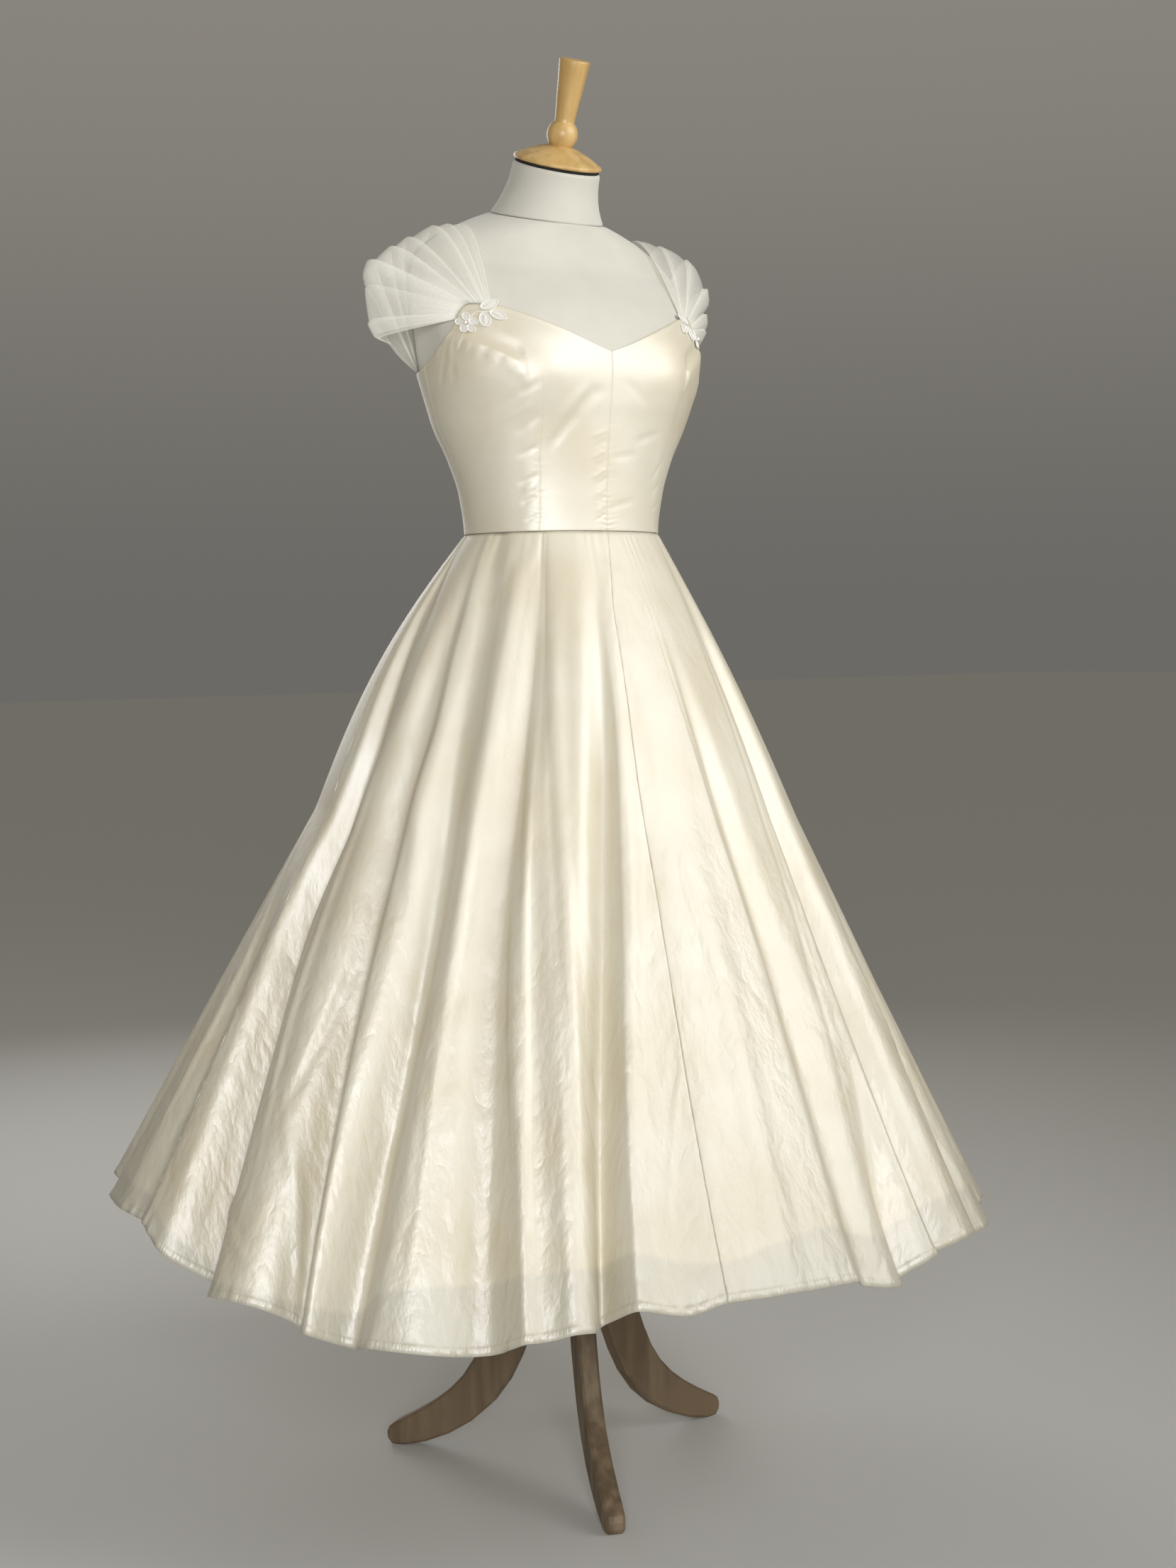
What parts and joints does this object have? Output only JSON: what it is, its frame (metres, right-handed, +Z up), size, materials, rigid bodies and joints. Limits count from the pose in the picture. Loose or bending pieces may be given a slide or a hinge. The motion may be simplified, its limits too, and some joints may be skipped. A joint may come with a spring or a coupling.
{
  "type": "wedding dress on dress form",
  "caption": "Ivory satin wedding dress with a fitted sweetheart bodice, full draped skirt, gathered tulle cap sleeves and appliqué sprigs, on a limbless dress form with a wooden tripod stand.",
  "frame": {"origin": "on the floor, under the middle of the whole outline", "axes": "+Z up, -Y towards the front of the dress, +X towards the wearer's left"},
  "size_m": [1.0177, 1.0225, 1.6284],
  "materials": {
    "satin": "ivory satin with a soft sheen",
    "tulle": "sheer ivory tulle",
    "applique": "white corded lace with a pearl",
    "zip_tape": "ivory zip tape",
    "zip_metal": "plain slider and pull",
    "form_jersey": "pale grey jersey",
    "dark_felt": "dark felt",
    "beech": "varnished turned beech",
    "stand_wood": "matt brown wood",
    "steel": "plain tube"
  },
  "bodies": {
    "dress_and_form": {"form_torso": "form_jersey", "form_neck": "form_jersey", "cap_gap_disc": "dark_felt", "neck_cap": "beech", "stand_leg_1": "stand_wood", "stand_leg_2": "stand_wood", "stand_leg_3": "stand_wood", "stand_hub": "stand_wood", "stand_pole": "steel", "bodice_front_right": "satin", "bodice_front_left": "satin", "bodice_back_left": "satin", "bodice_back_right": "satin", "skirt_front_right": "satin", "skirt_front_left": "satin", "skirt_back_left": "satin", "skirt_back_right": "satin", "sleeve_right": "tulle", "sleeve_left": "tulle", "applique_flower_right": "applique", "applique_flower_left": "applique", "applique_leaf_right_1": "applique", "applique_leaf_right_2": "applique", "applique_leaf_right_3": "applique", "applique_leaf_left_1": "applique", "applique_leaf_left_2": "applique", "applique_leaf_left_3": "applique", "back_zip": "zip_tape", "zip_slider": "zip_metal"},
    "zip_pull": {"zip_pull": "zip_metal"}
  },
  "joints": [
    {"name": "zip_pull_hinge", "type": "hinge", "parent": "dress_and_form", "child": "zip_pull", "pos_m": [0.0193, 0.10072, 1.267], "axis": [1, 0, 0], "range_deg": [0, 150]}
  ]
}
